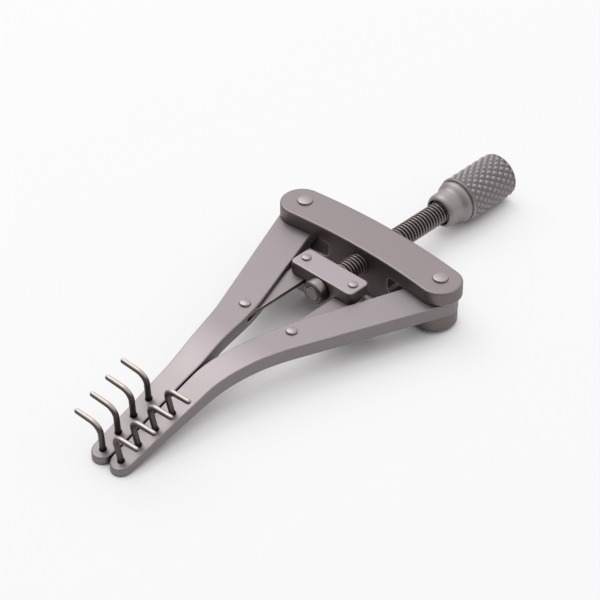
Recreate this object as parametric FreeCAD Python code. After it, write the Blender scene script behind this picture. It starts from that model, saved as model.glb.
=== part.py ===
import FreeCAD
import Part
import math
import os

# Self retaining retractor: two pronged arms hinged in a slotted yoke and spread by a thumb screw.
# Frame: +X across the yoke, -Y towards the prongs, +Y towards the knob, +Z on the side where the
# prongs stand. The origin lies in the middle of the yoke's flat underside. Lengths are millimetres.

# Yoke
pivot_spacing = 32.0            # between the two arm pivots
yoke_height = 8.9
yoke_width = 7.9                # front to back
ear_thickness = 2.6             # above the arm slots
lower_ear_thickness = 3.1       # below the arm slots
yoke_end_overhang = 0.25        # the end rounding's centre lies this far outside the pivot
lower_ear_setback = 1.1         # the ears below the arms end this much sooner
bow_radius = 125.0              # the yoke's ends are swept towards the prongs
yoke_middle_y = 0.7
slot_block_width = 13.8         # solid block left between the two arm slots
slot_corner_radius = 0.9
yoke_edge_radius = 0.35

# Screw axis
axis_height = 5.3
thread_pitch = 0.7
thread_radius = 2.0
thread_depth = 0.43
thread_crest = 0.07             # flat left on each ridge
journal_radius = 1.4
shank_radius = 1.55             # plain end fixed in the knob
knob_start_y = 17.4             # knob nose at rest

# Arms
arm_thickness = 2.6
arm_top_gap = 0.12              # under the upper ears
arm_eye_radius = 3.75
arm_eye_ahead = 0.8             # the eye's rounding is centred this far in front of the pivot
arm_tip_thickness = 1.35
bend_y = -38.8                  # where the arm turns down
bend_angle = 18.35
bend_radius = 40.0              # of the upper surface
tip_centre_y = -62.5            # of the round tip
tip_radius = 2.05
arm_gap = 0.3                   # between the closed arms along the middle
outer_knee = (9.15, -28.0)       # outer edge: straight from the eye to here, then curved
outer_waist = (6.05, -38.6)
outer_shoulder = (4.9, -46.0)
inner_knee = (4.15, -23.0)      # inner edge: straight from the eye to here, then curved
inner_waist = (1.15, -36.5)
inner_shoulder_y = -43.5
arm_edge_radius = 0.25

# Links and rider
link_pivot_x = 5.5
rider_pivot_y = -10.6
arm_pivot_y = -25.75
link_width = 3.8
link_thickness = 0.75
link_drop = 0.3                 # link mid plane below the screw axis
rider_length = 14.3
rider_depth = 5.0
rider_height = 5.4
rider_corner_radius = 1.0
rider_edge_radius = 0.25
collar_radius = 2.2             # riveted on the spindle in front of the rider
collar_length = 1.9
collar_chamfer = 0.3
journal_end_proud = 0.15

# Knob
knob_radius = 4.25              # of the grip
knob_length = 16.6
mouth_radius = 2.45             # recess around the screw
mouth_depth = 1.0
lip_width = 0.15                # flat ring around the recess
lip_length = 1.1                # the front rounds over into the neck
neck_radius = 3.15
neck_length = 1.7
flare_length = 1.6              # hollow, then full, from the neck to the shoulder
shoulder_radius = 3.9
shoulder_length = 0.25
groove_width = 0.35
groove_depth = 0.15             # below the shoulder
grip_chamfer = 0.3
knob_rear_radius = 1.1

# Rivets: radius of the shank, radius of the head, height of the head
yoke_rivet = (1.15, 1.35, 0.42)
arm_rivet = (0.85, 1.0, 0.48)
rider_rivet = (0.75, 0.85, 0.4)
rivet_rim_share = 0.35          # of a head's height, upright below its rounded edge
rivet_crown_share = 0.2         # of a head's height, rise of its top inside that edge

# Prongs
prong_count = 4
prong_radius = 0.54
prong_pitch = 3.76
first_prong_ahead = 0.2         # past the centre of the arm's round tip
first_prong_inward = 0.05       # from that centre towards the other arm
prong_row_flare = 0.21          # each prong stands this much further out than the one before it
prong_rise = 5.9
prong_reach = 5.35
prong_lean = 9.5                # degrees towards the tips
prong_bend_radius = 1.9
prong_inward_lean = 5.0         # degrees, the stem leans towards the middle
prong_end_slope = 2.5           # degrees, the end still rises
prong_seat_depth = 1.1
prong_tip_rounding = 0.4

# Fits and clearances
press_gap = 0.02                # radial, fixed pieces
running_gap = 0.05              # radial, pivots and bores
side_gap = 0.12                 # each side of a link in its slot
slot_play = 0.3                 # around a link's outline in its slot
open_pivot_play = 0.42          # radial, the link's rider hole
shoulder_gap = 0.1              # axial, rider between its two collars

# Picking edges by their place and shape
same_place = 0.001
upright_ratio = 1.2             # an upright edge is this much higher than it is wide or deep

# Places worked out from the sizes above
pivot_x = pivot_spacing / 2.0
yoke_half = yoke_width / 2.0
slot_floor = lower_ear_thickness
slot_roof = yoke_height - ear_thickness
arm_top = slot_roof - arm_top_gap
arm_bottom = arm_top - arm_thickness
link_mid = axis_height - link_drop
link_slot_height = link_thickness + 2.0 * side_gap
link_radius = link_width / 2.0
rider_rear = rider_pivot_y + rider_depth / 2.0
rider_front = rider_pivot_y - rider_depth / 2.0
inner_edge_x = arm_gap / 2.0
tip_centre_x = inner_edge_x + tip_radius
first_prong_x = tip_centre_x - first_prong_inward
first_prong_y = tip_centre_y - first_prong_ahead
far = 200.0                     # longer than any piece, for cutting tools

V = FreeCAD.Vector
up = V(0, 0, 1)
along = V(0, 1, 0)


def cylinder(radius, length, start, direction=up):
    return Part.makeCylinder(radius, length, start, direction)


def box(x0, x1, y0, y1, z0, z1):
    return Part.makeBox(x1 - x0, y1 - y0, z1 - z0, V(x0, y0, z0))


def line(a, b):
    return Part.LineSegment(a, b).toShape()


def arc(a, middle, b):
    return Part.Arc(a, middle, b).toShape()


def mirrored(shape):
    return shape.mirror(V(0, 0, 0), V(1, 0, 0))


def extruded(edges, height):
    return Part.Face(Part.Wire(edges)).extrude(V(0, 0, height))


def level_edges(shape, level):
    """Edges that lie flat at one height."""
    found = []
    for edge in shape.Edges:
        bounds = edge.BoundBox
        if max(abs(bounds.ZMin - level), abs(bounds.ZMax - level)) < same_place:
            found.append(edge)
    return found


def on_circle(centre, radius, angle):
    return V(centre.x + radius * math.cos(angle), centre.y + radius * math.sin(angle), centre.z)


def turned(profile):
    """Solid of revolution about the screw axis from (y, radius) corners."""
    corners = [V(0, y, axis_height + radius) for y, radius in profile]
    edges = [line(a, b) for a, b in zip(corners, corners[1:] + corners[:1])]
    face = Part.Face(Part.Wire(edges))
    return face.revolve(V(0, 0, axis_height), along, 360)


def headed_rivet(sizes, x, y, bottom, top):
    """Shank and low button head: upright rim, rounded edge, slightly crowned top."""
    shank_r, head_r, height = sizes
    rim_top = top + height * rivet_rim_share
    crown_rise = height * rivet_crown_share
    rounding = height - (rim_top - top) - crown_rise
    flat_r = head_r - rounding
    diagonal = rounding * math.sin(math.pi / 4.0)
    corners = [V(x, y, bottom), V(x + shank_r, y, bottom), V(x + shank_r, y, top),
               V(x + head_r, y, top), V(x + head_r, y, rim_top)]
    edges = [line(a, b) for a, b in zip(corners, corners[1:])]
    edge_top = V(x + flat_r, y, rim_top + rounding)
    edges.append(arc(corners[-1], V(x + flat_r + diagonal, y, rim_top + diagonal), edge_top))
    crown = V(x, y, top + height)
    crown_r = (flat_r ** 2 + crown_rise ** 2) / (2.0 * crown_rise)
    half_sweep = math.asin(flat_r / crown_r) / 2.0
    crown_middle = V(x + crown_r * math.sin(half_sweep), y,
                     crown.z - crown_r * (1.0 - math.cos(half_sweep)))
    edges.append(arc(edge_top, crown_middle, crown))
    edges.append(line(crown, corners[0]))
    return Part.Face(Part.Wire(edges)).revolve(V(x, y, bottom), up, 360)


def yoke_plan(overhang):
    """Bowed outline; its round ends are centred this far outside the pivots."""
    centre = V(0, yoke_middle_y - bow_radius, 0)
    sweep = math.asin((pivot_x + overhang) / bow_radius)
    half_turn = math.pi / 2.0
    left_dir, right_dir = half_turn + sweep, half_turn - sweep
    rear = [on_circle(centre, bow_radius + yoke_half, a) for a in (left_dir, half_turn, right_dir)]
    front = [on_circle(centre, bow_radius - yoke_half, a) for a in (right_dir, half_turn, left_dir)]
    right_end = on_circle(centre, bow_radius, right_dir)
    left_end = on_circle(centre, bow_radius, left_dir)
    return [arc(*rear),
            arc(rear[2], on_circle(right_end, yoke_half, right_dir - half_turn), front[0]),
            arc(*front),
            arc(front[2], on_circle(left_end, yoke_half, left_dir + half_turn), rear[0])]


def yoke():
    lower = extruded(yoke_plan(yoke_end_overhang - lower_ear_setback), slot_floor)
    upper = extruded(yoke_plan(yoke_end_overhang), yoke_height - slot_floor)
    upper.translate(V(0, 0, slot_floor))
    body = upper.fuse(lower).removeSplitter()
    rims = level_edges(body, 0.0) + level_edges(body, yoke_height)
    body = body.makeFillet(yoke_edge_radius, rims)
    inner_wall = slot_block_width / 2.0
    slot = box(inner_wall, far, -far, far, slot_floor, slot_roof)
    corners = [e for e in slot.Edges
               if abs(e.BoundBox.XMax - inner_wall) < same_place and e.BoundBox.YLength > far]
    slot = slot.makeFillet(slot_corner_radius, corners)
    body = body.cut([slot, mirrored(slot)])
    holes = [cylinder(yoke_rivet[0] + press_gap, yoke_height, V(side * pivot_x, 0, 0))
             for side in (-1, 1)]
    bore = cylinder(thread_radius + running_gap, 2 * far, V(0, -far, axis_height), along)
    return body.cut(holes + [bore])


def tangent_point(centre, radius, point, side):
    """Where a line from the point touches the circle; side picks one of the two."""
    reach = point.sub(centre)
    swing = math.acos(radius / reach.Length)
    direction = math.atan2(reach.y, reach.x) + side * swing
    return on_circle(centre, radius, direction)


def smooth(a, middle, b, start_dir, end_dir):
    curve = Part.BSplineCurve()
    curve.interpolate(Points=[a, middle, b], InitialTangent=start_dir, FinalTangent=end_dir)
    return curve.toShape()


def arm_outline():
    """Plan of the right arm: eye, straight and curved edges, round tip."""
    eye = V(pivot_x, -arm_eye_ahead, 0)
    outer = [V(x, y, 0) for x, y in (outer_knee, outer_waist, outer_shoulder)]
    inner = [V(x, y, 0) for x, y in (inner_knee, inner_waist, (inner_edge_x, inner_shoulder_y))]
    outer_start = tangent_point(eye, arm_eye_radius, outer[0], 1)
    inner_start = tangent_point(eye, arm_eye_radius, inner[0], -1)
    eye_back = on_circle(eye, arm_eye_radius, math.pi / 2.0)
    tip_centre = V(tip_centre_x, tip_centre_y, 0)
    tip_outer = tangent_point(tip_centre, tip_radius, outer[2], -1)
    tip_front = on_circle(tip_centre, tip_radius, -math.pi / 2.0)
    tip_inner = V(inner_edge_x, tip_centre_y, 0)
    outer_dir = outer[0].sub(outer_start).normalize()
    outer_end_dir = tip_outer.sub(outer[2]).normalize()
    inner_dir = inner_start.sub(inner[0]).normalize()
    return [arc(inner_start, eye_back, outer_start),
            line(outer_start, outer[0]),
            smooth(outer[0], outer[1], outer[2], outer_dir, outer_end_dir),
            line(outer[2], tip_outer),
            arc(tip_outer, tip_front, tip_inner),
            line(tip_inner, inner[2]),
            smooth(inner[2], inner[1], inner[0], along, inner_dir),
            line(inner[0], inner_start)]


def plate_top(y):
    """Height of the arm's upper surface in the sloping stretch."""
    slope = math.radians(bend_angle)
    return arm_top - (bend_y - y) * math.tan(slope)


def arm_side_profile():
    """Side view of the arm: flat, turned down at the bend, thinner at the tip."""
    slope = math.radians(bend_angle)
    tangent_length = bend_radius * math.tan(slope / 2.0)
    top_start = V(0, bend_y + tangent_length, arm_top)
    pivot = V(0, top_start.y, arm_top - bend_radius)
    under_radius = bend_radius - arm_thickness

    def around(radius, angle):
        return V(0, pivot.y - radius * math.sin(angle), pivot.z + radius * math.cos(angle))

    end_y = tip_centre_y - 2.0 * tip_radius     # past the round tip
    reach = (around(bend_radius, slope).y - end_y) / math.cos(slope)
    run = V(0, -math.cos(slope), -math.sin(slope))
    into = V(0, math.sin(slope), -math.cos(slope))
    top_end = around(bend_radius, slope).add(run.multiply(reach))
    under_end = top_end.add(into.multiply(arm_tip_thickness))
    rear_y = pivot_x
    edges = [line(V(0, rear_y, arm_top), top_start),
             arc(top_start, around(bend_radius, slope / 2.0), around(bend_radius, slope)),
             line(around(bend_radius, slope), top_end),
             line(top_end, under_end),
             line(under_end, around(under_radius, slope)),
             arc(around(under_radius, slope), around(under_radius, slope / 2.0),
                 around(under_radius, 0.0)),
             line(around(under_radius, 0.0), V(0, rear_y, arm_bottom)),
             line(V(0, rear_y, arm_bottom), V(0, rear_y, arm_top))]
    face = Part.Face(Part.Wire(edges))
    return face.extrude(V(far, 0, 0))


def link_slot_in_arm():
    """Room for the link: its outline with play, open to the arm's inner edge."""
    reach = link_radius + slot_play
    wall_x = link_pivot_x + reach
    bottom = link_mid - link_slot_height / 2.0
    top = bottom + link_slot_height
    pocket = box(-far, wall_x, arm_pivot_y, rider_front + link_width, bottom, top)
    end = cylinder(reach, link_slot_height, V(link_pivot_x, arm_pivot_y, bottom))
    inward = box(-far, link_pivot_x, arm_pivot_y - reach, arm_pivot_y, bottom, top)
    return [pocket, end, inward]


def prong_frame(index):
    """Base point on the arm and the direction in which the prong rises."""
    y = first_prong_y + index * prong_pitch
    x = first_prong_x + index * prong_row_flare
    lean = math.radians(prong_lean)
    return V(x, y, plate_top(y)), V(0, -math.sin(lean), math.cos(lean))


def prong_seat(index, extra):
    base, rise = prong_frame(index)
    start = base.sub(V(rise).multiply(prong_seat_depth))
    return cylinder(prong_radius + extra, prong_seat_depth + arm_thickness, start, rise)


def right_arm():
    prism = extruded(arm_outline(), 2 * far)
    prism.translate(V(0, 0, -far))
    plate = prism.common(arm_side_profile())
    plate = plate.Solids[0]
    rims = []
    for edge in plate.Edges:
        size = edge.BoundBox
        upright = size.ZLength > upright_ratio * max(size.XLength, size.YLength)
        crosses_arm = size.XLength > tip_radius and size.YLength < same_place
        if not upright and not crosses_arm:
            rims.append(edge)
    plate = plate.makeFillet(arm_edge_radius, rims)
    holes = [cylinder(yoke_rivet[0] + running_gap, far, V(pivot_x, 0, 0)),
             cylinder(arm_rivet[0] + press_gap, far, V(link_pivot_x, arm_pivot_y, 0))]
    seats = [prong_seat(i, press_gap) for i in range(prong_count)]
    return plate.cut(holes + link_slot_in_arm() + seats)


def right_prong(index):
    """Round wire: up from its seat, bent outwards over the arm's outer edge, rounded end."""
    base, rise = prong_frame(index)
    out = V(1, 0, 0)
    height = prong_rise / math.cos(math.radians(prong_lean))
    stem_dir = math.pi / 2.0 + math.radians(prong_inward_lean)
    end_dir = math.radians(prong_end_slope)
    r = prong_bend_radius

    def point(across, high):
        return base.add(V(out).multiply(across)).add(V(rise).multiply(high))

    # The stem's line through the base and the end's line through the tip cross at the corner,
    # which the bend rounds off.
    stem = (math.cos(stem_dir), math.sin(stem_dir))
    end = (math.cos(end_dir), math.sin(end_dir))
    cross = stem[0] * end[1] - stem[1] * end[0]
    stem_length = (prong_reach * end[1] - height * end[0]) / cross
    corner = (stem[0] * stem_length, stem[1] * stem_length)
    setback = r * math.tan((stem_dir - end_dir) / 2.0)
    half_dir = (stem_dir + end_dir) / 2.0
    start = (corner[0] - setback * stem[0], corner[1] - setback * stem[1])
    finish = (corner[0] + setback * end[0], corner[1] + setback * end[1])
    centre = (start[0] + r * stem[1], start[1] - r * stem[0])
    middle = (centre[0] - r * math.sin(half_dir), centre[1] + r * math.cos(half_dir))
    foot = point(0.0, -prong_seat_depth)
    tip = point(prong_reach, height)
    path = Part.Wire([line(foot, point(0.0, 0.0)), line(point(0.0, 0.0), point(*start)),
                      arc(point(*start), point(*middle), point(*finish)), line(point(*finish), tip)])
    section = Part.Wire(Part.Circle(foot, rise, prong_radius).toShape())
    wire = path.makePipeShell([section], True, False)
    ends = [e for e in wire.Edges if e.CenterOfMass.distanceToPoint(tip) < same_place]
    return wire.makeFillet(prong_tip_rounding, ends)


def right_link():
    bottom = link_mid - link_thickness / 2.0
    body = box(link_pivot_x - link_radius, link_pivot_x + link_radius, arm_pivot_y, rider_pivot_y,
               bottom, bottom + link_thickness)
    ends = [cylinder(link_radius, link_thickness, V(link_pivot_x, y, bottom))
            for y in (arm_pivot_y, rider_pivot_y)]
    body = body.fuse(ends).removeSplitter()
    arm_hole = cylinder(arm_rivet[0] + running_gap, far, V(link_pivot_x, arm_pivot_y, 0))
    rider_hole = cylinder(rider_rivet[0] + open_pivot_play, far, V(link_pivot_x, rider_pivot_y, 0))
    return body.cut([arm_hole, rider_hole])


def rider():
    bottom = link_mid - rider_height / 2.0
    half = rider_length / 2.0
    body = box(-half, half, rider_front, rider_rear, bottom, bottom + rider_height)
    uprights = [e for e in body.Edges if e.BoundBox.ZLength > rider_height / 2.0]
    body = body.makeFillet(rider_corner_radius, uprights)
    rims = level_edges(body, bottom) + level_edges(body, bottom + rider_height)
    body = body.makeFillet(rider_edge_radius, rims)
    slot_start = link_pivot_x - link_radius - slot_play
    slot_bottom = link_mid - link_slot_height / 2.0
    slot = box(slot_start, far, -far, far, slot_bottom, slot_bottom + link_slot_height)
    holes = [cylinder(rider_rivet[0] + press_gap, far, V(side * link_pivot_x, rider_pivot_y, bottom))
             for side in (-1, 1)]
    bore = cylinder(journal_radius + running_gap, 2 * far, V(0, -far, axis_height), along)
    return body.cut([slot, mirrored(slot), bore] + holes)


def spindle():
    """Journal in the rider, thread drawn as closed ridges, plain shank in the knob."""
    thread_start = rider_rear + shoulder_gap
    thread_end = knob_start_y + mouth_depth
    root = thread_radius - thread_depth
    ridges = int((thread_end - thread_start) / thread_pitch)
    front = rider_front - shoulder_gap - collar_length - journal_end_proud
    profile = [(front, 0.0), (front, journal_radius), (thread_start, journal_radius),
               (thread_start, root)]
    for i in range(ridges):
        y = thread_start + i * thread_pitch
        profile += [(y + (thread_pitch - thread_crest) / 2.0, thread_radius),
                    (y + (thread_pitch + thread_crest) / 2.0, thread_radius),
                    (y + thread_pitch, root)]
    profile += [(thread_end, root), (thread_end, shank_radius)]
    shank_end = knob_start_y + knob_length - knob_rear_radius
    profile += [(shank_end, shank_radius), (shank_end, 0.0)]
    return turned(profile)


def retaining_collar():
    rear = rider_front - shoulder_gap
    front = rear - collar_length
    bore = journal_radius + press_gap
    c = collar_chamfer
    return turned([(front, bore), (front, collar_radius - c), (front + c, collar_radius),
                   (rear, collar_radius), (rear, bore)])


def level_arc(level, end):
    """Arc from a (y, radius) place, where it runs along the screw axis, to another one."""
    ahead, out = end[0] - level[0], end[1] - level[1]
    half_chord = math.hypot(ahead, out) / 2.0
    slope = math.atan2(abs(out), abs(ahead)) / 2.0      # of the chord to the arc's middle
    middle = (level[0] + math.copysign(half_chord, ahead),
              level[1] + math.copysign(half_chord * math.tan(slope), out))
    return arc(*[V(0, y, axis_height + radius) for y, radius in (level, middle, end)])


def thumb_knob():
    """Turned in one piece: lipped nose with a recess, groove, grip, closed rear end."""
    front = knob_start_y
    shank = shank_radius + press_gap
    recess_end = front + mouth_depth
    neck = front + lip_length
    neck_end = neck + neck_length
    shoulder = neck_end + flare_length
    groove = shoulder + shoulder_length
    grip = groove + groove_width
    rear = front + knob_length
    shank_end = rear - knob_rear_radius + press_gap
    lip_radius = mouth_radius + lip_width
    flare_middle = ((neck_end + shoulder) / 2.0, (neck_radius + shoulder_radius) / 2.0)

    def run(*corners):
        places = [V(0, y, axis_height + radius) for y, radius in corners]
        return [line(a, b) for a, b in zip(places, places[1:])]

    edges = run((shank_end, 0.0), (shank_end, shank), (recess_end, shank),
                (recess_end, mouth_radius), (front, mouth_radius), (front, lip_radius))
    edges.append(level_arc((neck, neck_radius), (front, lip_radius)))
    edges += run((neck, neck_radius), (neck_end, neck_radius))
    edges.append(level_arc((neck_end, neck_radius), flare_middle))
    edges.append(level_arc((shoulder, shoulder_radius), flare_middle))
    groove_radius = shoulder_radius - groove_depth
    edges += run((shoulder, shoulder_radius), (groove, shoulder_radius), (groove, groove_radius),
                 (grip, groove_radius), (grip, knob_radius - grip_chamfer),
                 (grip + grip_chamfer, knob_radius), (rear - knob_rear_radius, knob_radius))
    edges.append(level_arc((rear - knob_rear_radius, knob_radius),
                           (rear, knob_radius - knob_rear_radius)))
    edges += run((rear, knob_radius - knob_rear_radius), (rear, 0.0), (shank_end, 0.0))
    return Part.Face(Part.Wire(edges)).revolve(V(0, 0, axis_height), along, 360)


def pair(name, shape):
    """A right-hand piece and its mirror image."""
    return {"right_" + name: shape, "left_" + name: mirrored(shape)}


def parts():
    made = {"yoke": yoke(), "rider": rider(), "spindle": spindle(),
            "retaining_collar": retaining_collar(), "thumb_knob": thumb_knob()}
    made.update(pair("arm", right_arm()))
    made.update(pair("link", right_link()))
    made.update(pair("yoke_rivet", headed_rivet(yoke_rivet, pivot_x, 0.0, 0.0, yoke_height)))
    made.update(pair("arm_rivet", headed_rivet(arm_rivet, link_pivot_x, arm_pivot_y,
                                               arm_bottom, arm_top)))
    rider_bottom = link_mid - rider_height / 2.0
    made.update(pair("rider_rivet", headed_rivet(rider_rivet, link_pivot_x, rider_pivot_y,
                                                 rider_bottom, rider_bottom + rider_height)))
    for index in range(prong_count):
        made.update(pair("prong_%d" % (index + 1), right_prong(index)))
    return made


os.makedirs("parts", exist_ok=True)
for name, shape in sorted(parts().items()):
    solid = shape.Solids[0]
    print(name, len(shape.Solids), shape.isValid(), round(solid.Volume, 3))
    solid.exportStep(os.path.join("parts", name + ".step"))
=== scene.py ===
import bpy
import bmesh
import math
import numpy as np
from mathutils import Matrix, Vector


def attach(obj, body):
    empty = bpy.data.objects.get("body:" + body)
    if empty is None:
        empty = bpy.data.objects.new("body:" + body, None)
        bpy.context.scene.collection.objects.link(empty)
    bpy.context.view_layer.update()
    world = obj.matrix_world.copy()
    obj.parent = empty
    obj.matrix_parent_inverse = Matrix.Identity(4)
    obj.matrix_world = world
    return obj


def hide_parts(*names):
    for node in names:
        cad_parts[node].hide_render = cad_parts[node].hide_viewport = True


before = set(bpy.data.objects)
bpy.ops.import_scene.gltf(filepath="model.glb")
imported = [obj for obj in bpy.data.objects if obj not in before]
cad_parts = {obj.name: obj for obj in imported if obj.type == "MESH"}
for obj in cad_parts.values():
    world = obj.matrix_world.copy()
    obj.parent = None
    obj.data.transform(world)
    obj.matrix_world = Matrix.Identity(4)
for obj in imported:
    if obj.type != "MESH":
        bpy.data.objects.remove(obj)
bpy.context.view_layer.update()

mm = 0.001
screwAxisHeight = 5.3 * mm    # in the shared frame


# camera: the photograph's viewing angle, as a long lens far away
cameraLook = {
    "azimuth": 43.53,      # degrees to the right of straight ahead
    "elevation": 37.96,
    "roll": 0.39,
    "lens": 210.9,         # mm, for the sensor's width below
    "sensorWidth": 36.0,
    "distance": 610.8 * mm,
    "aim": (-5.56 * mm, -12.09 * mm, -0.74 * mm),
    "clip": (0.01, 10.0),
}


def placeCamera(look):
    azimuth, elevation = math.radians(look["azimuth"]), math.radians(look["elevation"])
    back = Vector((math.sin(azimuth) * math.cos(elevation),
                   -math.cos(azimuth) * math.cos(elevation), math.sin(elevation)))
    camera = bpy.data.objects.new("studioCamera", bpy.data.cameras.new("studioCamera"))
    camera.data.lens = look["lens"]
    camera.data.sensor_width = look["sensorWidth"]
    camera.data.clip_start, camera.data.clip_end = look["clip"]
    facing = (-back).to_track_quat("-Z", "Y").to_matrix()
    turn = facing @ Matrix.Rotation(math.radians(look["roll"]), 3, "Z")
    stand = Vector(look["aim"]) + back * look["distance"]
    camera.matrix_world = Matrix.Translation(stand) @ turn.to_4x4()
    bpy.context.collection.objects.link(camera)
    bpy.context.scene.camera = camera


placeCamera(cameraLook)
print("camera placed")


# node helpers
def addNode(tree, kind, inputs=None, **settings):
    node = tree.nodes.new(kind)
    for key, value in settings.items():
        setattr(node, key, value)
    for key, value in (inputs or {}).items():
        socket = node.inputs[key]
        if isinstance(value, bpy.types.NodeSocket):
            tree.links.new(value, socket)
        else:
            socket.default_value = value
    return node


def calc(tree, operation, a, b=0.0, clamp=False):
    node = addNode(tree, "ShaderNodeMath", {0: a, 1: b}, operation=operation, use_clamp=clamp)
    return node.outputs[0]


def times(tree, product, *others):
    for other in others:
        product = calc(tree, "MULTIPLY", product, other)
    return product


def inverse(tree, value):
    return calc(tree, "SUBTRACT", 1.0, value)


def ramp(tree, value, start, end, low=0.0, high=1.0, smooth=False):
    # from low to high, while the value goes from start to end
    values = {"Value": value, "From Min": start, "From Max": end, "To Min": low, "To Max": high}
    curve = "SMOOTHSTEP" if smooth else "LINEAR"
    return addNode(tree, "ShaderNodeMapRange", values, interpolation_type=curve).outputs[0]


def objectPlace(tree):
    return addNode(tree, "ShaderNodeTexCoord").outputs["Object"]


def newGroup(name, kind, inputs, outputs):
    group = bpy.data.node_groups.new(name, kind)
    for label, socketKind, value in inputs:
        socket = group.interface.new_socket(label, in_out="INPUT", socket_type="NodeSocket" + socketKind)
        if value is not None:
            socket.default_value = value
    for label, socketKind in outputs:
        group.interface.new_socket(label, in_out="OUTPUT", socket_type="NodeSocket" + socketKind)
    entry = group.nodes.new("NodeGroupInput")
    leave = group.nodes.new("NodeGroupOutput")
    return group, entry, leave


# shared shader effects
effectLook = {
    "coarseScale": 0.22,         # of the fine grain's scale
    "fineShare": 0.7,            # of the grain's height, the rest is coarse
    "speckleGain": 4.0,
    "wearAndHighlightTurn": (0.01, 0.12),    # how far an edge turns where its wear and painted highlight start, and where they are full
    "patchScale": 700.0,
    "patchEdge": (0.35, 0.65),
    "cloudGain": 2.0,
    # for the painted shade in grooves and pockets:
    "grooveOpen": (0.2, 0.8),    # how much open air counts as closed, and as open
    "pocketOpen": (0.05, 0.55),
}


def makeBlastGroup():
    # fine shot-blasted pitting: a height, and a faint light and dark speckle
    group, entry, leave = newGroup("blastGrain", "ShaderNodeTree",
                                   [("Scale", "Float", 9000.0), ("Speckle", "Float", 0.06)],
                                   [("Height", "Float"), ("Shade", "Float")])
    spot = objectPlace(group)
    fine = addNode(group, "ShaderNodeTexNoise",
                   {"Vector": spot, "Scale": entry.outputs["Scale"], "Detail": 3.0, "Roughness": 0.65})
    coarseScale = times(group, entry.outputs["Scale"], effectLook["coarseScale"])
    coarse = addNode(group, "ShaderNodeTexNoise", {"Vector": spot, "Scale": coarseScale, "Detail": 2.0})
    height = calc(group, "ADD", times(group, fine.outputs[0], effectLook["fineShare"]),
                  times(group, coarse.outputs[0], 1.0 - effectLook["fineShare"]))
    swing = times(group, calc(group, "SUBTRACT", height, 0.5), entry.outputs["Speckle"])
    shade = calc(group, "ADD", times(group, swing, effectLook["speckleGain"]), 1.0)
    group.links.new(height, leave.inputs["Height"])
    group.links.new(shade, leave.inputs["Shade"])
    return group


def makeEdgeGroup():
    # handling polishes the sharp edges, and a painted highlight lies along them: a broken mask where the
    # surface turns
    group, entry, leave = newGroup("edgeWearAndHighlight", "ShaderNodeTree",
                                   [("Radius", "Float", 0.2 * mm), ("Patchiness", "Float", 0.5)],
                                   [("Mask", "Float"), ("Normal", "Vector")])
    rounded = addNode(group, "ShaderNodeBevel", {"Radius": entry.outputs["Radius"]}, samples=6)
    plain = addNode(group, "ShaderNodeNewGeometry").outputs["Normal"]
    same = addNode(group, "ShaderNodeVectorMath", {0: rounded.outputs[0], 1: plain},
                   operation="DOT_PRODUCT").outputs["Value"]
    sharp = ramp(group, inverse(group, same), *effectLook["wearAndHighlightTurn"])
    patches = addNode(group, "ShaderNodeTexNoise",
                      {"Vector": objectPlace(group), "Scale": effectLook["patchScale"], "Detail": 3.0})
    broken = ramp(group, patches.outputs[0], *effectLook["patchEdge"])
    gaps = times(group, entry.outputs["Patchiness"], inverse(group, broken))
    group.links.new(times(group, sharp, inverse(group, gaps)), leave.inputs["Mask"])
    group.links.new(rounded.outputs[0], leave.inputs["Normal"])
    return group


def makeCloudGroup():
    # broad uneven tone, as handling and the blasting leave it
    group, entry, leave = newGroup("toneClouds", "ShaderNodeTree",
                                   [("Scale", "Float", 130.0), ("Depth", "Float", 0.08)],
                                   [("Shade", "Float"), ("Mask", "Float")])
    cloud = addNode(group, "ShaderNodeTexNoise",
                    {"Vector": objectPlace(group), "Scale": entry.outputs["Scale"], "Detail": 4.0,
                     "Distortion": 0.4})
    swing = times(group, calc(group, "SUBTRACT", cloud.outputs[0], 0.5), entry.outputs["Depth"])
    shade = calc(group, "ADD", times(group, swing, effectLook["cloudGain"]), 1.0)
    group.links.new(shade, leave.inputs["Shade"])
    group.links.new(cloud.outputs[0], leave.inputs["Mask"])
    return group


def makeCreviceShadeGroup():
    # painted shade: darker in grooves, under heads and between parts, and darker still deep inside slots
    # and pockets, by how enclosed the surface is
    group, entry, leave = newGroup("paintedCreviceShade", "ShaderNodeTree",
                                   [("Reach", "Float", 0.4 * mm), ("Depth", "Float", 0.5),
                                    ("Pocket Reach", "Float", 2.5 * mm), ("Pocket Depth", "Float", 0.7)],
                                   [("Shade", "Float")])
    shades = []
    for prefix, opening in (("", "grooveOpen"), ("Pocket ", "pocketOpen")):
        air = addNode(group, "ShaderNodeAmbientOcclusion", {"Distance": entry.outputs[prefix + "Reach"]},
                      samples=8)
        closed = inverse(group, ramp(group, air.outputs["AO"], *effectLook[opening]))
        shades.append(inverse(group, times(group, closed, entry.outputs[prefix + "Depth"])))
    group.links.new(times(group, *shades), leave.inputs["Shade"])
    return group


def makeLevelGroup():
    # level faces against upright ones, for painted light: upright faces take a side colour, mostly a
    # painted shade; Below tells how much an underside counts as level
    group, entry, leave = newGroup("levelFaces", "ShaderNodeTree",
                                   [("Low", "Float", 0.35), ("High", "Float", 0.8),
                                    ("Below", "Float", 1.0)], [("Mask", "Float")])
    normal = addNode(group, "ShaderNodeTexCoord").outputs["Normal"]
    upward = addNode(group, "ShaderNodeSeparateXYZ", {0: normal}).outputs["Z"]
    downward = times(group, upward, -1.0, entry.outputs["Below"])
    level = ramp(group, calc(group, "MAXIMUM", upward, downward),
                 entry.outputs["Low"], entry.outputs["High"], smooth=True)
    group.links.new(level, leave.inputs["Mask"])
    return group


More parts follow.
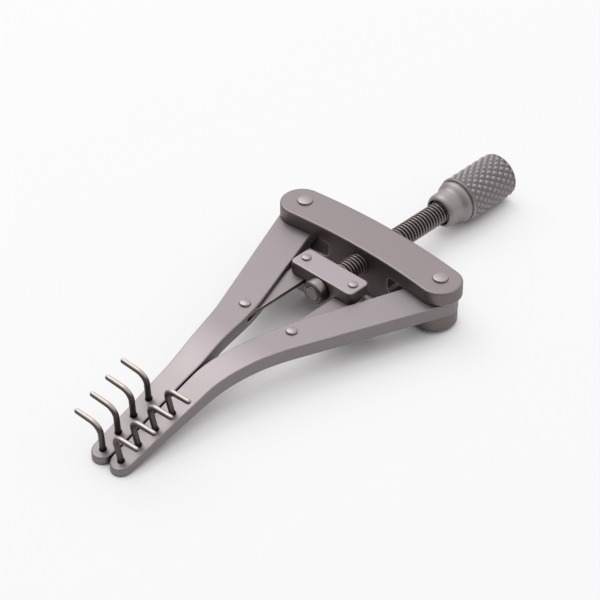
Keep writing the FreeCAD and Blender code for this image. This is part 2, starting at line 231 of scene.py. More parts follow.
def makeAlongGroup():
    # a tone that changes between two places along the piece
    group, entry, leave = newGroup("alongPiece", "ShaderNodeTree",
                                   [("Start", "Float", -30 * mm), ("End", "Float", -50 * mm)],
                                   [("Mask", "Float")])
    along = addNode(group, "ShaderNodeSeparateXYZ", {0: objectPlace(group)}).outputs["Y"]
    share = ramp(group, along, entry.outputs["Start"], entry.outputs["End"], smooth=True)
    group.links.new(share, leave.inputs["Mask"])
    return group


def makeRadialGroup():
    # crests against roots of a thread or knurl, by the distance from the screw's axis; the roots take a
    # painted shade
    group, entry, leave = newGroup("radialRelief", "ShaderNodeTree",
                                   [("Axis Height", "Float", screwAxisHeight), ("Root", "Float", 1.6 * mm),
                                    ("Crest", "Float", 2.0 * mm)], [("Mask", "Float")])
    parts = addNode(group, "ShaderNodeSeparateXYZ", {0: objectPlace(group)})
    across = parts.outputs["X"]
    high = calc(group, "SUBTRACT", parts.outputs["Z"], entry.outputs["Axis Height"])
    square = calc(group, "ADD", times(group, high, high), times(group, across, across))
    radius = calc(group, "SQRT", square)
    crest = ramp(group, radius, entry.outputs["Root"], entry.outputs["Crest"])
    group.links.new(crest, leave.inputs["Mask"])
    return group


def makeSeatGroup():
    # the dark ring at each place in a straight row, the same on the left and the right
    group, entry, leave = newGroup("seatStain", "ShaderNodeTree",
                                   [("First", "Vector", None), ("Step", "Vector", None),
                                    ("Last", "Float", 3.0), ("Inner", "Float", 0.6 * mm),
                                    ("Outer", "Float", 0.9 * mm)], [("Mask", "Float")])
    parts = addNode(group, "ShaderNodeSeparateXYZ", {0: objectPlace(group)})
    mirrored = addNode(group, "ShaderNodeCombineXYZ",
                       {"X": calc(group, "ABSOLUTE", parts.outputs["X"]), "Y": parts.outputs["Y"],
                        "Z": parts.outputs["Z"]})
    offset = addNode(group, "ShaderNodeVectorMath", {0: mirrored.outputs[0], 1: entry.outputs["First"]},
                     operation="SUBTRACT").outputs["Vector"]
    onward = addNode(group, "ShaderNodeSeparateXYZ", {0: offset}).outputs["Y"]
    pitch = addNode(group, "ShaderNodeSeparateXYZ", {0: entry.outputs["Step"]}).outputs["Y"]
    turn = calc(group, "ROUND", calc(group, "DIVIDE", onward, pitch))
    number = calc(group, "MINIMUM", calc(group, "MAXIMUM", turn, 0.0), entry.outputs["Last"])
    seat = addNode(group, "ShaderNodeVectorMath", {0: entry.outputs["Step"], "Scale": number},
                   operation="SCALE").outputs["Vector"]
    away = addNode(group, "ShaderNodeVectorMath", {0: offset, 1: seat}, operation="DISTANCE")
    ring = ramp(group, away.outputs["Value"], entry.outputs["Outer"], entry.outputs["Inner"], smooth=True)
    group.links.new(ring, leave.inputs["Mask"])
    return group


blastGroup = makeBlastGroup()
edgeGroup = makeEdgeGroup()
cloudGroup = makeCloudGroup()
creviceShadeGroup = makeCreviceShadeGroup()
levelGroup = makeLevelGroup()
alongGroup = makeAlongGroup()
radialGroup = makeRadialGroup()
seatGroup = makeSeatGroup()


# the row of prongs on an arm, in the shared frame (mirrored for the left arm)
prongRow = {
    "count": 4,
    "first": (2.15 * mm, -62.7 * mm, -1.747 * mm),
    "pitch": 3.76 * mm,
    "flare": 0.21 * mm,    # outwards, from each prong to the next one behind it
    "armSlope": 18.35,
}
prongRise = prongRow["pitch"] * math.tan(math.radians(prongRow["armSlope"]))
prongStep = (prongRow["flare"], prongRow["pitch"], prongRise)

# finishes and painted light: what all share, then what differs. The tops' colours are lit and shaded copies
# of one steel, a painted light: darker on the yoke and the links, lighter on the rider, and on the arms
# lighter past the bend towards the tips.
plainSteel = {
    # the edge colour is polish from wear and a painted highlight at once
    "edgeWearAndHighlightColor": (0.98, 0.82, 0.63), "roughness": 0.50, "edgeRoughness": 0.36, "roughSwing": 0.12,
    "grainScale": 7000.0, "speckle": 0.04, "bump": 0.06, "bumpHeight": 0.03 * mm,
    "edgeRadius": 0.2 * mm, "patchiness": 0.35, "clouds": 0.05, "below": 1.0,
    # how dark the painted shade in crevices and pockets gets, and how far around it reaches
    "crevice": 0.92, "creviceReach": 0.5 * mm, "pocket": 0.93, "pocketReach": 4 * mm,
    "reliefFade": 0.1 * mm,
}
steelFinishesAndPaintedLight = {
    "yokeSteel": {"color": (0.300, 0.262, 0.270), "paintedSideColor": (0.200, 0.174, 0.165)},
    "armSteel": {"color": (0.335, 0.300, 0.312), "paintedSideColor": (0.250, 0.227, 0.232),
                 "litTipColor": (0.345, 0.312, 0.322), "along": (-31 * mm, -47 * mm),
                 "seat": (0.56 * mm, 0.80 * mm)},
    "riderSteel": {"color": (0.390, 0.350, 0.375), "paintedSideColor": (0.250, 0.215, 0.205)},
    "linkSteel": {"color": (0.300, 0.270, 0.275), "paintedSideColor": (0.150, 0.130, 0.130)},
    "knobSteel": {"color": (0.40, 0.365, 0.365), "paintedSideColor": (0.36, 0.325, 0.325), "roughness": 0.56,
                  "edgeRadius": 0.12 * mm, "edgeWearAndHighlightColor": (0.62, 0.54, 0.47), "pocket": 0.5,
                  "relief": (3.93 * mm, 4.17 * mm), "reliefFrom": 22.6 * mm,
                  "shadedRootColor": (0.21, 0.195, 0.205)},
    "threadSteel": {"color": (0.37, 0.335, 0.32), "paintedSideColor": (0.30, 0.265, 0.25), "roughness": 0.45,
                    "edgeRadius": 0.1 * mm, "edgeWearAndHighlightColor": (0.56, 0.49, 0.43), "pocket": 0.6,
                    "relief": (1.6 * mm, 1.95 * mm), "reliefFrom": -8.0 * mm,
                    "shadedRootColor": (0.14, 0.125, 0.12)},
    "collarSteel": {"color": (0.34, 0.31, 0.30), "paintedSideColor": (0.12, 0.103, 0.095), "roughness": 0.45,
                    "edgeRadius": 0.12 * mm},
    # prongs: a painted highlight in their light top colour, and painted shade on the stems and undersides
    # in their dark side colour
    "prongSteel": {"color": (0.60, 0.54, 0.50), "paintedSideColor": (0.115, 0.098, 0.09), "roughness": 0.5,
                   "edgeRadius": 0.1 * mm, "grainScale": 8000.0, "below": 0.0,
                   "seat": (0.55 * mm, 1.2 * mm)},
    # rivets: heads a little lighter than the plates and a warm, lit rim, both painted highlight
    "rivetSteel": {"color": (0.40, 0.36, 0.365), "paintedSideColor": (0.62, 0.50, 0.38), "roughness": 0.45,
                   "edgeRadius": 0.12 * mm, "grainScale": 8000.0},
}
stainColor = (0.04, 0.04, 0.05)


def useGroup(tree, group, values):
    node = addNode(tree, "ShaderNodeGroup", node_tree=group)
    for name, value in values.items():
        node.inputs[name].default_value = value
    return node


def blend(tree, mask, first, second):
    mix = addNode(tree, "ShaderNodeMix", data_type="RGBA")
    tree.links.new(mask, mix.inputs[0])
    for socket, color in ((mix.inputs[6], first), (mix.inputs[7], second)):
        if isinstance(color, tuple):
            socket.default_value = (*color, 1.0)
        else:
            tree.links.new(color, socket)
    return mix.outputs[2]


def makeSteel(name, changes):
    finish = {**plainSteel, **changes}
    material = bpy.data.materials.new(name)
    material.use_nodes = True
    tree = material.node_tree
    shader = tree.nodes["Principled BSDF"]
    blast = useGroup(tree, blastGroup, {"Scale": finish["grainScale"], "Speckle": finish["speckle"]})
    edge = useGroup(tree, edgeGroup, {"Radius": finish["edgeRadius"], "Patchiness": finish["patchiness"]})
    cloud = useGroup(tree, cloudGroup, {"Depth": finish["clouds"]})
    # painted shade in crevices and pockets
    crevice = useGroup(tree, creviceShadeGroup,
                       {"Reach": finish["creviceReach"], "Depth": finish["crevice"],
                        "Pocket Reach": finish["pocketReach"], "Pocket Depth": finish["pocket"]})
    level = useGroup(tree, levelGroup, {"Below": finish["below"]})
    top = finish["color"]
    # painted light: the arms turn lighter past the bend towards the tips
    if "along" in finish:
        along = useGroup(tree, alongGroup, {"Start": finish["along"][0], "End": finish["along"][1]})
        top = blend(tree, along.outputs["Mask"], finish["color"], finish["litTipColor"])
    # painted light: upright faces take the side colour, a painted shade on most pieces
    color = blend(tree, level.outputs["Mask"], finish["paintedSideColor"], top)
    # edges: polish from wear, and a painted highlight in the bright warm edge colour
    color = blend(tree, edge.outputs["Mask"], color, finish["edgeWearAndHighlightColor"])
    # painted shade in the roots of the knurl and the thread
    if "relief" in finish:
        radial = useGroup(tree, radialGroup, {"Root": finish["relief"][0], "Crest": finish["relief"][1]})
        cutPart = useGroup(tree, alongGroup, {"Start": finish["reliefFrom"],
                                              "End": finish["reliefFrom"] + finish["reliefFade"]})
        low = times(tree, inverse(tree, radial.outputs["Mask"]), cutPart.outputs["Mask"])
        color = blend(tree, low, color, finish["shadedRootColor"])
    if "seat" in finish:
        seat = useGroup(tree, seatGroup, {"First": prongRow["first"], "Step": prongStep,
                                          "Last": prongRow["count"] - 1.0,
                                          "Inner": finish["seat"][0], "Outer": finish["seat"][1]})
        color = blend(tree, seat.outputs["Mask"], color, stainColor)
    shade = times(tree, blast.outputs["Shade"], cloud.outputs["Shade"], crevice.outputs["Shade"])
    tone = addNode(tree, "ShaderNodeVectorMath", {0: color, "Scale": shade}, operation="SCALE")
    rough = ramp(tree, edge.outputs["Mask"], 0.0, 1.0, finish["roughness"], finish["edgeRoughness"])
    swing = times(tree, calc(tree, "SUBTRACT", cloud.outputs["Mask"], 0.5), finish["roughSwing"])
    bump = addNode(tree, "ShaderNodeBump",
                   {"Height": blast.outputs["Height"], "Strength": finish["bump"],
                    "Distance": finish["bumpHeight"], "Normal": edge.outputs["Normal"]})
    shader.inputs["Metallic"].default_value = 1.0
    tree.links.new(tone.outputs["Vector"], shader.inputs["Base Color"])
    tree.links.new(calc(tree, "ADD", rough, swing), shader.inputs["Roughness"])
    tree.links.new(bump.outputs[0], shader.inputs["Normal"])
    return material


steels = {name: makeSteel(name, finish) for name, finish in steelFinishesAndPaintedLight.items()}
print("materials made:", ", ".join(steels))


def finishFor(node):
    for word in ("rivet", "prong", "arm", "link", "yoke", "rider", "knob", "collar"):
        if word in node:
            return steels[word + "Steel"]
    return steels["threadSteel"]


for name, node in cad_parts.items():
    node.data.materials.clear()
    node.data.materials.append(finishFor(name))


# both geometry trees end the same way
def endTree(tree, shape, entry, leave):
    real = addNode(tree, "GeometryNodeRealizeInstances", {"Geometry": shape.outputs[0]})
    coated = addNode(tree, "GeometryNodeSetMaterial",
                     {"Geometry": real.outputs[0], "Material": entry.outputs["Material"]})
    tree.links.new(coated.outputs[0], leave.inputs["Geometry"])


def makeSweepTree():
    # a profile line swept around the Y axis, with a helical relief cut into it
    tree, entry, leave = newGroup("sweptProfile", "GeometryNodeTree", [
        ("Geometry", "Geometry", None), ("Columns", "Int", 96), ("Starts", "Float", 1.0),
        ("Pitch", "Float", 0.7 * mm), ("Depth", "Float", 0.4 * mm), ("Crossed", "Float", 0.0),
        ("Root Share", "Float", 0.1), ("Crest Share", "Float", 0.1),
        ("Merge Distance", "Float", 0.0005 * mm), ("Material", "Material", None)],
        [("Geometry", "Geometry")])
    line = entry.outputs["Geometry"]
    count = addNode(tree, "GeometryNodeAttributeDomainSize", {"Geometry": line},
                    component="MESH").outputs[0]
    wrap = calc(tree, "ADD", entry.outputs["Columns"], 1.0)
    grid = addNode(tree, "GeometryNodeMeshGrid",
                   {"Size X": 1.0, "Size Y": 1.0, "Vertices X": count, "Vertices Y": wrap}).outputs["Mesh"]
    index = addNode(tree, "GeometryNodeInputIndex").outputs[0]
    row = calc(tree, "FLOOR", calc(tree, "DIVIDE", calc(tree, "ADD", index, 0.5), wrap))
    column = calc(tree, "SUBTRACT", index, times(tree, row, wrap))
    rowIndex = addNode(tree, "FunctionNodeFloatToInt", {"Float": row}, rounding_mode="ROUND").outputs[0]

    def fromLine(value, kind):
        found = addNode(tree, "GeometryNodeSampleIndex",
                        {"Geometry": line, "Value": value, "Index": rowIndex}, data_type=kind)
        return found.outputs[0]

    position = addNode(tree, "GeometryNodeInputPosition").outputs[0]
    relief = addNode(tree, "GeometryNodeInputNamedAttribute", {"Name": "relief"}, data_type="FLOAT")
    parts = addNode(tree, "ShaderNodeSeparateXYZ", {0: fromLine(position, "FLOAT_VECTOR")})
    along, out = parts.outputs["Y"], parts.outputs["Z"]
    turn = calc(tree, "DIVIDE", column, entry.outputs["Columns"])

    def ridge(sign):
        # rounded ridges that run around the axis as a screw, up to 1 at the crest
        phase = calc(tree, "ADD", calc(tree, "DIVIDE", along, entry.outputs["Pitch"]),
                     times(tree, turn, entry.outputs["Starts"], sign))
        return ramp(tree, times(tree, calc(tree, "PINGPONG", phase, 0.5), 2.0),
                    entry.outputs["Root Share"], inverse(tree, entry.outputs["Crest Share"]), smooth=True)

    leftHand = calc(tree, "ADD", times(tree, ridge(-1.0), entry.outputs["Crossed"]),
                    inverse(tree, entry.outputs["Crossed"]))
    height = times(tree, ridge(1.0), leftHand)
    cut = times(tree, inverse(tree, height), entry.outputs["Depth"], fromLine(relief.outputs[0], "FLOAT"))
    radius = calc(tree, "SUBTRACT", out, cut)
    angle = times(tree, turn, 2.0 * math.pi)
    point = addNode(tree, "ShaderNodeCombineXYZ", {
        "X": times(tree, radius, calc(tree, "COSINE", angle)), "Y": along,
        "Z": times(tree, radius, calc(tree, "SINE", angle))})
    shaped = addNode(tree, "GeometryNodeSetPosition", {"Geometry": grid, "Position": point.outputs[0]})
    joined = addNode(tree, "GeometryNodeMergeByDistance",
                     {"Geometry": shaped.outputs[0], "Distance": entry.outputs["Merge Distance"]})
    endTree(tree, joined, entry, leave)
    return tree


def makeWireTree():
    # a bent wire with a tapered, rounded end, repeated along a straight row
    tree, entry, leave = newGroup("wireRow", "GeometryNodeTree", [
        ("Geometry", "Geometry", None), ("Count", "Int", 4), ("Step", "Vector", None),
        ("Stem Radius", "Float", 0.5 * mm), ("Tip Radius", "Float", 0.5 * mm),
        ("Taper Start", "Float", 0.35), ("Last Ring", "Float", 0.04), ("Sides", "Int", 20),
        ("Material", "Material", None)], [("Geometry", "Geometry")])
    path = addNode(tree, "GeometryNodeMeshToCurve", {"Mesh": entry.outputs["Geometry"]}).outputs[0]
    spline = addNode(tree, "GeometryNodeSplineParameter")
    whole = calc(tree, "DIVIDE", spline.outputs["Length"],
                 calc(tree, "MAXIMUM", spline.outputs["Factor"], 0.0001))    # never by zero
    left = calc(tree, "SUBTRACT", whole, spline.outputs["Length"])
    taper = ramp(tree, spline.outputs["Factor"], entry.outputs["Taper Start"], 1.0,
                 entry.outputs["Stem Radius"], entry.outputs["Tip Radius"])
    inset = calc(tree, "SUBTRACT", 1.0, calc(tree, "DIVIDE", left, entry.outputs["Tip Radius"]), clamp=True)
    bulge = calc(tree, "SQRT", calc(tree, "SUBTRACT", 1.0, times(tree, inset, inset), clamp=True))
    radius = times(tree, taper, calc(tree, "MAXIMUM", bulge, entry.outputs["Last Ring"]))
    ring = addNode(tree, "GeometryNodeCurvePrimitiveCircle",
                   {"Resolution": entry.outputs["Sides"], "Radius": 1.0})
    wire = addNode(tree, "GeometryNodeCurveToMesh", {"Curve": path, "Profile Curve": ring.outputs[0],
                                                     "Scale": radius, "Fill Caps": True})
    row = addNode(tree, "GeometryNodeMeshLine",
                  {"Count": entry.outputs["Count"], "Offset": entry.outputs["Step"]})
    copies = addNode(tree, "GeometryNodeInstanceOnPoints",
                     {"Points": row.outputs[0], "Instance": wire.outputs[0]})
    endTree(tree, copies, entry, leave)
    return tree


sweepTree = makeSweepTree()
wireTree = makeWireTree()


def roundedPath(corners, arcSteps=7):
    # corners: (along, out, rounding radius); arcs replace the corners that have one
    points = []
    for i, (y, r, rounding) in enumerate(corners):
        here = Vector((y, r))
        if rounding <= 0 or i in (0, len(corners) - 1):
            points.append((y, r))
            continue
        before = (Vector(corners[i - 1][:2]) - here).normalized()
        after = (Vector(corners[i + 1][:2]) - here).normalized()
        half = before.angle(after) / 2
        setback = rounding / math.tan(half)
        centre = here + (before + after).normalized() * (rounding / math.sin(half))
        first = (here + before * setback - centre).normalized()
        last = (here + after * setback - centre).normalized()
        for step in range(arcSteps + 1):
            points.append(tuple(centre + first.slerp(last, step / arcSteps) * rounding))
    return points


def subdivided(points, start, end, spacing):
    # more rows between two places along the axis, for the relief to be cut into
    slack = 0.0001 * mm
    finer = [points[0]]
    for a, b in zip(points, points[1:]):
        inside = a[0] >= start - slack and b[0] <= end + slack
        steps = max(1, round(abs(b[0] - a[0]) / spacing)) if inside else 1
        for k in range(1, steps + 1):
            finer.append((a[0] + (b[0] - a[0]) * k / steps, a[1] + (b[1] - a[1]) * k / steps))
    return finer


def finishMesh(piece):
    # the modifier's result becomes a plain, closed mesh with its faces outwards
    bpy.context.view_layer.update()
    graph = bpy.context.evaluated_depsgraph_get()
    mesh = bpy.data.meshes.new_from_object(piece.evaluated_get(graph), depsgraph=graph)
    piece.modifiers.clear()
    piece.data = mesh
    mergeDistance = 0.0003 * mm
    shell = bmesh.new()
    shell.from_mesh(mesh)
    bmesh.ops.remove_doubles(shell, verts=shell.verts, dist=mergeDistance)
    bmesh.ops.recalc_face_normals(shell, faces=shell.faces)
    shell.to_mesh(mesh)
    shell.free()
    for polygon in mesh.polygons:
        polygon.use_smooth = True


def growPiece(name, tree, points, attributes, settings):
    mesh = bpy.data.meshes.new(name)
    mesh.from_pydata(points, [(i, i + 1) for i in range(len(points) - 1)], [])
    for label, values in attributes.items():
        layer = mesh.attributes.new(label, "FLOAT", "POINT")
        layer.data.foreach_set("value", values)
    piece = bpy.data.objects.new(name, mesh)
    bpy.context.collection.objects.link(piece)
    modifier = piece.modifiers.new(name, "NODES")
    modifier.node_group = tree
    sockets = {item.name: item.identifier for item in tree.interface.items_tree if item.in_out == "INPUT"}
    for label, value in settings.items():
        modifier[sockets[label]] = value
    finishMesh(piece)
    return piece


def sweepPiece(name, profile, crease, relief, settings):
    points = [(0.0, y, r) for y, r in profile]
    masks = [1.0 if relief and relief[0] <= y <= relief[1] else 0.0 for y, r in profile]
    piece = growPiece(name, sweepTree, points, {"relief": masks}, settings)
    piece.data.transform(Matrix.Translation((0.0, 0.0, screwAxisHeight)))
    piece.data.set_sharp_from_angle(angle=math.radians(crease))
    return piece


def place(piece, body, finish, *replaced):
    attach(piece, body)
    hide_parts(*replaced)


# thumb knob: rounded lip around a recess, neck, flare, shoulder, groove and diamond knurl
knobShape = {
    "front": 17.4 * mm,
    "length": 16.6 * mm,
    "radius": 4.25 * mm,
    "mouthRadius": 2.45 * mm,
    "mouthDepth": 1.0 * mm,
    "mouthRounding": 0.2 * mm,
    "mouthEdge": 0.05 * mm,
    "lipRadius": 2.6 * mm,
    "lipLength": 1.1 * mm,
    "lipSteps": 7,
    "neckRadius": 3.15 * mm,
    "neckLength": 1.7 * mm,
    "flareLength": 1.6 * mm,
    "flareSteps": 10,
    "shoulderRadius": 3.9 * mm,
    "shoulderLength": 0.25 * mm,
    "shoulderEdge": 0.06 * mm,
    "grooveWidth": 0.35 * mm,
    "grooveDepth": 0.15 * mm,
    "grooveRounding": 0.04 * mm,
    "gripEdge": 0.3 * mm,
    "gripCorners": (0.05 * mm, 0.08 * mm),
    "rearRounding": 1.1 * mm,
    "knurlStarts": 19,
    "knurlPitch": 1.81 * mm,
    "knurlDepth": 0.3 * mm,
    "knurlFlats": (0.08, 0.3),    # shares that stay level at the root and at the crest
    "knurlMargin": 0.02 * mm,     # behind the grip's front corner
    "knurlRunOut": 0.5 * mm,
    "stepsPerHalfDiamond": 6,
    "crease": 50.0,
}


def makeKnob(shape):
    front, r, neck, shoulder = shape["front"], shape["radius"], shape["neckRadius"], shape["shoulderRadius"]
    rear = front + shape["length"]
    floor = front + shape["mouthDepth"]
    corners = [(floor, 0.0, 0.0), (floor, shape["mouthRadius"], shape["mouthRounding"]),
               (front, shape["mouthRadius"], shape["mouthEdge"])]
    lipEnd = front + shape["lipLength"]
    rise = neck - shape["lipRadius"]
    bow = (shape["lipLength"] ** 2 + rise ** 2) / (2 * rise)
    opening = math.asin(shape["lipLength"] / bow)
    for step in range(shape["lipSteps"] + 1):
        angle = opening * (1 - step / shape["lipSteps"])
        corners.append((lipEnd - bow * math.sin(angle), neck - bow * (1 - math.cos(angle)), 0.0))
    flareStart = lipEnd + shape["neckLength"]
    for step in range(shape["flareSteps"] + 1):
        share = step / shape["flareSteps"]
        corners.append((flareStart + shape["flareLength"] * share,
                        neck + (shoulder - neck) * (1 - math.cos(math.pi * share)) / 2, 0.0))
    shoulderEnd = flareStart + shape["flareLength"] + shape["shoulderLength"]
    grip = shoulderEnd + shape["grooveWidth"]
    grooved = shoulder - shape["grooveDepth"]
    gripFull = grip + shape["gripEdge"]
    hollow, (gripLow, gripHigh) = shape["grooveRounding"], shape["gripCorners"]
    corners += [(shoulderEnd, shoulder, shape["shoulderEdge"]), (shoulderEnd, grooved, hollow),
                (grip, grooved, hollow), (grip, r - shape["gripEdge"], gripLow), (gripFull, r, gripHigh),
                (rear, r, shape["rearRounding"]), (rear, 0.0, 0.0)]
    rowStep = shape["knurlPitch"] / 2 / shape["stepsPerHalfDiamond"]
    knurlStart, knurlEnd = gripFull + shape["knurlMargin"], rear - shape["rearRounding"]
    profile = subdivided(roundedPath(corners), knurlStart, knurlEnd, rowStep)
    relief = (knurlStart, knurlEnd + shape["knurlRunOut"])
    knob = sweepPiece("thumbKnob", profile, shape["crease"], relief, {
        "Columns": 2 * shape["knurlStarts"] * shape["stepsPerHalfDiamond"],
        "Starts": float(shape["knurlStarts"]), "Pitch": shape["knurlPitch"], "Depth": shape["knurlDepth"],
        "Crossed": 1.0, "Root Share": shape["knurlFlats"][0], "Crest Share": shape["knurlFlats"][1],
        "Material": steels["knobSteel"]})
    place(knob, "spindle", "turned_steel", "thumb_knob")


makeKnob(knobShape)
print("knob made")


# screw spindle: journal in the rider, right-hand thread up to the knob
spindleShape = {
    "journalFront": -15.23 * mm,
    "journalRadius": 1.4 * mm,
    "journalEdge": 0.3 * mm,
    "threadStart": -8.0 * mm,
    "threadEnd": 18.5 * mm,
    "threadRadius": 2.0 * mm,
    "threadDepth": 0.43 * mm,
    "threadPitch": 0.7 * mm,
    "threadRunIn": 0.3 * mm,
    "threadFlats": (0.12, 0.14),    # shares that stay level at the root and at the crest
    "rowsPerTurn": 10,
    "columns": 72,
    "crease": 30.0,
}


def makeSpindle(shape):
    start, end, r = shape["threadStart"], shape["threadEnd"], shape["threadRadius"]
    journal = shape["journalRadius"]
    runIn = start + shape["threadRunIn"]
    corners = [(shape["journalFront"], 0.0, 0.0), (shape["journalFront"], journal, shape["journalEdge"]),
               (start, journal, 0.0), (start, r - shape["threadRunIn"], 0.0), (runIn, r, 0.0),
               (end, r, 0.0), (end, 0.0, 0.0)]
    profile = subdivided(roundedPath(corners), runIn, end, shape["threadPitch"] / shape["rowsPerTurn"])
    spindle = sweepPiece("screwSpindle", profile, shape["crease"], (runIn, end), {
        "Columns": shape["columns"], "Starts": 1.0, "Pitch": shape["threadPitch"],
        "Depth": shape["threadDepth"], "Crossed": 0.0, "Root Share": shape["threadFlats"][0],
        "Crest Share": shape["threadFlats"][1], "Material": steels["threadSteel"]})
    place(spindle, "spindle", "turned_steel", "spindle")


makeSpindle(spindleShape)
print("spindle made")


# collar that holds the journal: chamfered disc with the journal's end spun over it
collarShape = {
    "front": -15.1 * mm,
    "rear": -13.2 * mm,
    "radius": 2.2 * mm,
    "chamfer": 0.3 * mm,
    "rounding": 0.08 * mm,
    "bore": 1.42 * mm,
    "dish": (1.68 * mm, 1.76 * mm),    # radius at its floor and at the front face
    "dishDepth": 0.08 * mm,
    "arcSteps": 3,
    "columns": 72,
    "crease": 30.0,
}


def makeCollar(shape):
    front, rear, r, c = shape["front"], shape["rear"], shape["radius"], shape["chamfer"]
    floor = front + shape["dishDepth"]
    corners = [(floor, shape["bore"], 0.0), (floor, shape["dish"][0], 0.0), (front, shape["dish"][1], 0.0),
               (front, r - c, shape["rounding"]), (front + c, r, shape["rounding"]),
               (rear, r, shape["rounding"]), (rear, shape["bore"], 0.0), (floor, shape["bore"], 0.0)]
    profile = roundedPath(corners, shape["arcSteps"])
    collar = sweepPiece("journalCollar", profile, shape["crease"], None,
                        {"Columns": shape["columns"], "Material": steels["collarSteel"]})
    place(collar, "spindle", "turned_steel", "retaining_collar")


makeCollar(collarShape)
print("collar made")


# prongs: four bent wires on each arm
prongShape = {
    "stemRadius": 0.54 * mm,
    "tipRadius": 0.47 * mm,
    "rise": 5.9 * mm,
    "reach": 5.35 * mm,
    "lean": 9.5,
    "inwardLean": 5.0,
    "endSlope": 2.5,
    "bendRadius": 1.9 * mm,
    "bendSteps": 12,
    "tipSteps": 6,
    "seatDepth": 1.0 * mm,
    "footMark": 0.2 * mm,             # rows just under and just over the arm's face
    "straightRows": (0.33, 0.67),     # rows along the straight parts
    "sides": 24,
    "crease": 60.0,
}


def prongPath(shape):
    # centre line in the plane of one prong: (outwards, upwards along the lean)
    height = shape["rise"] / math.cos(math.radians(shape["lean"]))
    stemDir, endDir = math.pi / 2 + math.radians(shape["inwardLean"]), math.radians(shape["endSlope"])
    stem = Vector((math.cos(stemDir), math.sin(stemDir)))
    end = Vector((math.cos(endDir), math.sin(endDir)))
    corner = stem * ((shape["reach"] * end.y - height * end.x) / (stem.x * end.y - stem.y * end.x))
    setback = shape["bendRadius"] * math.tan((stemDir - endDir) / 2)
    start = corner - stem * setback
    centre = start + Vector((stem.y, -stem.x)) * shape["bendRadius"]
    bend = []
    for step in range(shape["bendSteps"] + 1):
        swing = stemDir + math.pi / 2 - (stemDir - endDir) * step / shape["bendSteps"]
        bend.append(centre + Vector((math.cos(swing), math.sin(swing))) * shape["bendRadius"])
    tip = Vector((shape["reach"], height))
    dome = []
    for step in range(shape["tipSteps"] + 1):
        short = 1 - math.sin(step / shape["tipSteps"] * math.pi / 2)
        dome.append(tip - end * shape["tipRadius"] * short)
    foot = [Vector((0, up)) for up in (-shape["seatDepth"], -shape["footMark"], shape["footMark"])]
    rise = [foot[-1].lerp(bend[0], share) for share in shape["straightRows"]]
    straight = [bend[-1].lerp(dome[0], share) for share in shape["straightRows"]]
    return foot + rise + bend + straight + dome


def makeProngs(side, shape):
    sign = 1 if side == "right" else -1
    lean = math.radians(shape["lean"])
    base = Vector(prongRow["first"])
    points = []
    for across, high in prongPath(shape):
        points.append((sign * (base.x + across), base.y - high * math.sin(lean),
                       base.z + high * math.cos(lean)))
    step = (sign * prongStep[0], *prongStep[1:])
    prongs = growPiece(side + "Prongs", wireTree, points, {}, {
        "Count": prongRow["count"], "Step": step, "Stem Radius": shape["stemRadius"],
        "Tip Radius": shape["tipRadius"], "Sides": shape["sides"], "Material": steels["prongSteel"]})
    prongs.data.set_sharp_from_angle(angle=math.radians(shape["crease"]))
    numbers = range(1, prongRow["count"] + 1)
    place(prongs, side + "_arm", "prong_wire", *[side + "_prong_%d" % number for number in numbers])


for side in ("right", "left"):
    makeProngs(side, prongShape)
print("prongs made")


# studio: floor under the tips and the knob, one large soft box, pale surroundings
studio = {
    "floorSize": 4.0,
    "floorColor": (0.93, 0.92, 0.935),
    "floorRoughness": 0.8,
    "floorShine": 0.1,
    "steepestFloor": 0.3,
    "floorTries": 60,
    "whiteShare": 0.62,        # how much of the open floor shows as plain white
    "shadeReach": 25 * mm,
    "shadeOpen": (0.25, 0.75),
    "boxPlace": (-0.52, 0.08, 0.74),
    "boxAim": (0.0, -0.015, 0.0),
    "boxSize": 0.7,
    "boxPower": 3.6,
    "boxColor": (1.0, 0.985, 0.97),
    "skyColor": (1.0, 0.99, 1.0),
    "skyFront": 0.12,
    "skyTop": 0.85,
    "skyLean": (0.1, 0.6, 0.9),    # the sky grows brighter this way, between the two steps
    "skySteps": (-0.3, 0.8),
}


def restingPlane(values):
    # the highest line under the part, seen from the side, that carries its middle
    meshes = [node.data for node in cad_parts.values()]
    places = np.concatenate([np.array([vertex.co for vertex in mesh.vertices]) for mesh in meshes])
    y, z = places[:, 1], places[:, 2]
    middle = y.mean()
    low, high = -values["steepestFloor"], values["steepestFloor"]
    for turn in range(values["floorTries"]):
        a, b = low + (high - low) / 3, high - (high - low) / 3
        if (z - a * (y - middle)).min() < (z - b * (y - middle)).min():
            low = a
        else:
            high = b
    return low, (z - low * y).min()


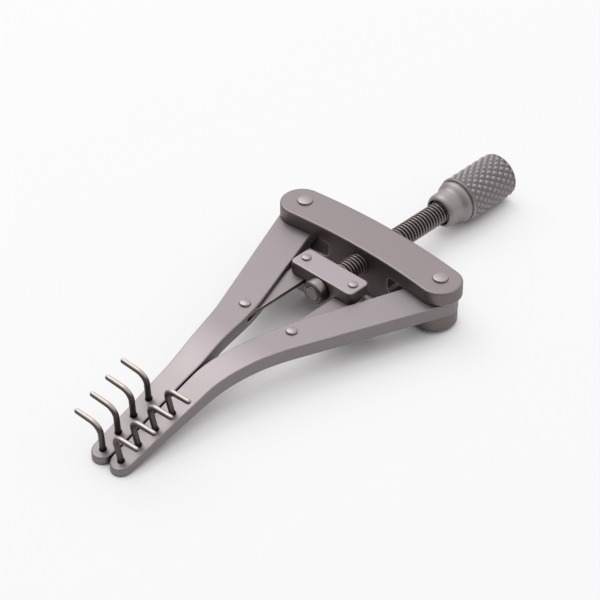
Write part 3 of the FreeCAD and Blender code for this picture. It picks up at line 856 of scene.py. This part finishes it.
def makeFloor(values):
    slope, level = restingPlane(values)
    half = values["floorSize"] / 2
    sides = ((-half, -half), (half, -half), (half, half), (-half, half))
    mesh = bpy.data.meshes.new("studioFloor")
    mesh.from_pydata([(x, y, level + slope * y) for x, y in sides], [], [(0, 1, 2, 3)])
    floor = bpy.data.objects.new("studioFloor", mesh)
    bpy.context.collection.objects.link(floor)
    material = bpy.data.materials.new("paleFloor")
    material.use_nodes = True
    tree = material.node_tree
    shader = tree.nodes["Principled BSDF"]
    shader.inputs["Base Color"].default_value = (*values["floorColor"], 1)
    shader.inputs["Roughness"].default_value = values["floorRoughness"]
    shader.inputs["Specular IOR Level"].default_value = values["floorShine"]
    # to the camera and in the metal, the open floor is nearly white; near the object it keeps its shade,
    # and the white fades where the floor is enclosed, a painted shade around the object
    rays = addNode(tree, "ShaderNodeLightPath").outputs
    seen = calc(tree, "MAXIMUM", calc(tree, "MAXIMUM", rays["Is Camera Ray"], rays["Is Glossy Ray"]),
                rays["Is Transmission Ray"])
    openness = addNode(tree, "ShaderNodeAmbientOcclusion", {"Distance": values["shadeReach"]}, samples=8)
    openShare = ramp(tree, openness.outputs["AO"], *values["shadeOpen"])
    share = times(tree, seen, openShare, values["whiteShare"])
    white = addNode(tree, "ShaderNodeEmission", {"Color": (1.0, 1.0, 1.0, 1.0), "Strength": 1.0})
    mixed = addNode(tree, "ShaderNodeMixShader", {0: share, 1: shader.outputs[0], 2: white.outputs[0]})
    tree.links.new(mixed.outputs[0], tree.nodes["Material Output"].inputs["Surface"])
    mesh.materials.append(material)
    print("floor slope", round(math.degrees(math.atan(slope)), 2), "level", round(level / mm, 2))


def makeLights(values):
    lamp = bpy.data.lights.new("softBox", "AREA")
    lamp.shape = "SQUARE"
    lamp.size = values["boxSize"]
    lamp.energy = values["boxPower"]
    lamp.color = values["boxColor"]
    box = bpy.data.objects.new("softBox", lamp)
    box.location = values["boxPlace"]
    box.rotation_mode = "QUATERNION"
    box.rotation_quaternion = (Vector(values["boxAim"]) - box.location).to_track_quat("-Z", "Y")
    bpy.context.collection.objects.link(box)
    world = bpy.data.worlds.new("studioSky")
    world.use_nodes = True
    tree = world.node_tree
    sky = tree.nodes["Background"]
    direction = addNode(tree, "ShaderNodeTexCoord").outputs["Generated"]
    reach = addNode(tree, "ShaderNodeVectorMath", {0: direction, 1: values["skyLean"]},
                    operation="DOT_PRODUCT").outputs["Value"]
    level = ramp(tree, reach, *values["skySteps"], values["skyFront"], values["skyTop"], smooth=True)
    tree.links.new(level, sky.inputs["Strength"])
    sky.inputs["Color"].default_value = (*values["skyColor"], 1)
    bpy.context.scene.world = world


makeFloor(studio)
makeLights(studio)
bpy.context.scene.view_settings.view_transform = "Standard"
print("studio set")
